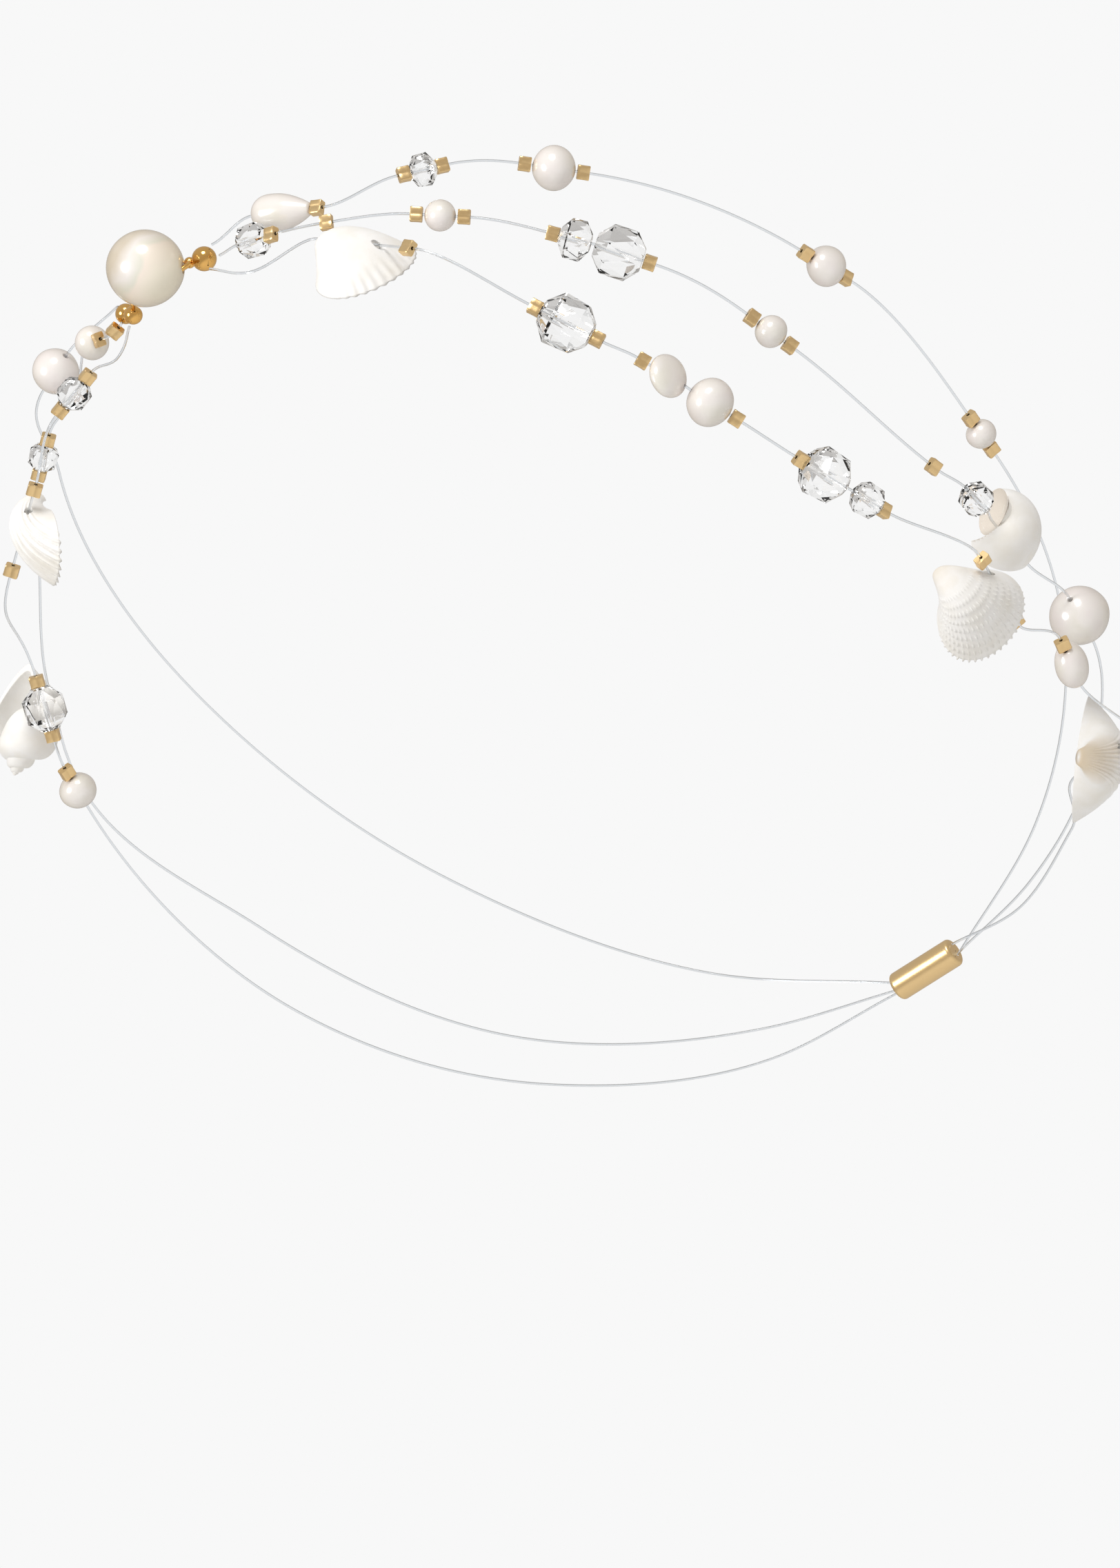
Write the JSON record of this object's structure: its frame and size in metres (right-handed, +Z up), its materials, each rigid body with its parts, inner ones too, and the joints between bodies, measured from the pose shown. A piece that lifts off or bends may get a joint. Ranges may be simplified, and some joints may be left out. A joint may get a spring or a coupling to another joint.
{
  "type": "diadem",
  "caption": "Open head ring of clear lines strung with pearls, faceted crystals and bleached sea shells, led by one large cream pearl at the front.",
  "frame": {"origin": "middle of the head opening, where the diadem sits on the wearer's head", "axes": "+Z up the wearer's head, -Y to the wearer's front, +X to the wearer's left"},
  "size_m": [0.1517, 0.1357, 0.1496],
  "materials": {
    "satin_gold": "satin gold plate",
    "clear_nylon": "clear gloss",
    "cream_pearl": "high pearl lustre",
    "white_pearl": "pearl lustre",
    "clear_crystal": "cut and polished",
    "bleached_shell": "matte, bleached"
  },
  "bodies": {
    "root": {"centre_pearl": "cream_pearl", "centre_mount": "satin_gold", "clasp": "satin_gold", "line_left_top": "clear_nylon", "line_left_middle": "clear_nylon", "line_left_bottom": "clear_nylon", "line_right_top": "clear_nylon", "line_right_middle": "clear_nylon", "line_right_bottom": "clear_nylon", "drop_pearl": "white_pearl", "pearl_oval": "white_pearl", "pearl_side": "white_pearl", "pearl_limb": "white_pearl", "pearl_round": "white_pearl", "pearl_little": "white_pearl", "pearl_potato": "white_pearl", "pearl_coin": "white_pearl", "pearl_full": "white_pearl", "pearl_tall": "white_pearl", "pearl_right_low": "white_pearl", "pearl_right_first": "white_pearl", "pearl_right_pink": "white_pearl", "crystal_small": "clear_crystal", "crystal_front": "clear_crystal", "crystal_pair_small": "clear_crystal", "crystal_pair_large": "clear_crystal", "crystal_low": "clear_crystal", "crystal_large": "clear_crystal", "crystal_twin_large": "clear_crystal", "crystal_twin_small": "clear_crystal", "crystal_right_first": "clear_crystal", "crystal_right_large": "clear_crystal", "crystal_right_small": "clear_crystal", "shell_cockle_front": "bleached_shell", "shell_knobbed": "bleached_shell", "shell_cockle_large": "bleached_shell", "shell_cockle_right": "bleached_shell", "shell_moon": "bleached_shell", "shell_spire": "bleached_shell"}
  },
  "joints": []
}
